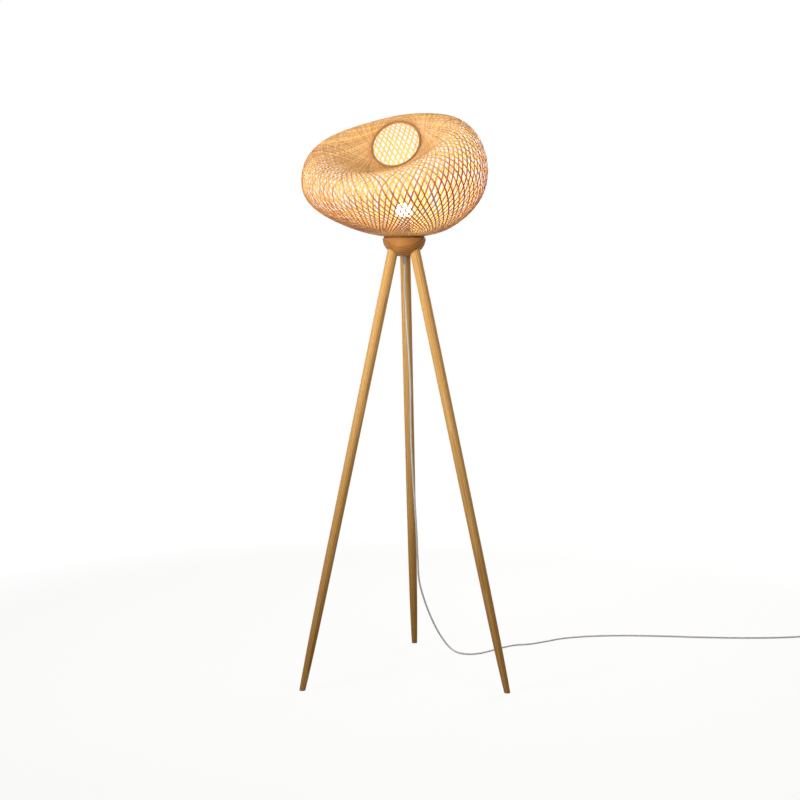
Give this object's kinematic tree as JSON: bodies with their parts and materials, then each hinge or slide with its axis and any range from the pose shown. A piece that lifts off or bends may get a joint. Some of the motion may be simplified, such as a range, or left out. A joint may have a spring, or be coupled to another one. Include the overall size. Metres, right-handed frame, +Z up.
{
  "type": "floor lamp",
  "caption": "Floor lamp with a hollow woven shade that folds in to a tilted opening, a turned wooden hub, splayed tapered legs and a corded foot switch.",
  "frame": {"origin": "on the floor, under the middle of the lamp's box without its cord, switch and plug", "axes": "+Z up, along the lamp's height; -Y towards the viewer, so the shade's opening faces -Y and a little -X; the cord leaves towards +X"},
  "size_m": [1.7405, 0.6932, 1.6004],
  "materials": {
    "rattan": "satin",
    "oak": "satin lacquer",
    "steel": "plated",
    "brass": "polished",
    "white_plastic": "moulded satin",
    "cord_plastic": "satin sleeve",
    "diffuser": "frosted"
  },
  "bodies": {
    "lamp": {"hub": "oak", "leg_rear": "oak", "leg_left": "oak", "leg_right": "oak", "insert_rear": "brass", "insert_left": "brass", "insert_right": "brass", "stud_rear": "steel", "stud_left": "steel", "stud_right": "steel", "threaded_tube": "steel", "tube_washer": "steel", "tube_nut": "steel", "inner_lead": "cord_plastic", "strain_relief": "cord_plastic", "holder_cap": "white_plastic", "holder_body": "white_plastic", "screw_shell": "brass", "centre_contact": "brass", "shade_carrier": "steel", "clamp_ring": "white_plastic", "neck_hoop": "rattan", "shade_foot": "rattan", "shade_belly": "rattan", "shade_shoulder": "rattan", "shade_crown": "rattan", "shade_funnel": "rattan", "throat_hoop": "rattan", "cord_run": "cord_plastic", "switch_base": "white_plastic", "switch_cover": "white_plastic", "cord_lead": "cord_plastic", "cord_coil": "cord_plastic", "cord_tail": "cord_plastic", "cord_tie": "cord_plastic", "plug_body": "white_plastic", "plug_pin_front": "steel", "plug_pin_back": "steel"},
    "bulb": {"bulb_contact": "brass", "bulb_cap": "steel", "bulb_housing": "white_plastic", "bulb_globe": "diffuser"},
    "button": {"switch_button": "white_plastic"}
  },
  "joints": [
    {"name": "bulb_turn", "type": "hinge", "parent": "lamp", "child": "bulb", "pos_m": [0.01066, -0.01379, 1.281], "axis": [0, 0, 1], "range_deg": [0, 900]},
    {"name": "button_press", "type": "slide", "parent": "lamp", "child": "button", "axis": [0, 0, -1], "range_m": [0, 0.003], "stiffness_N_per_m": 800, "springref_m": -0.003}
  ]
}
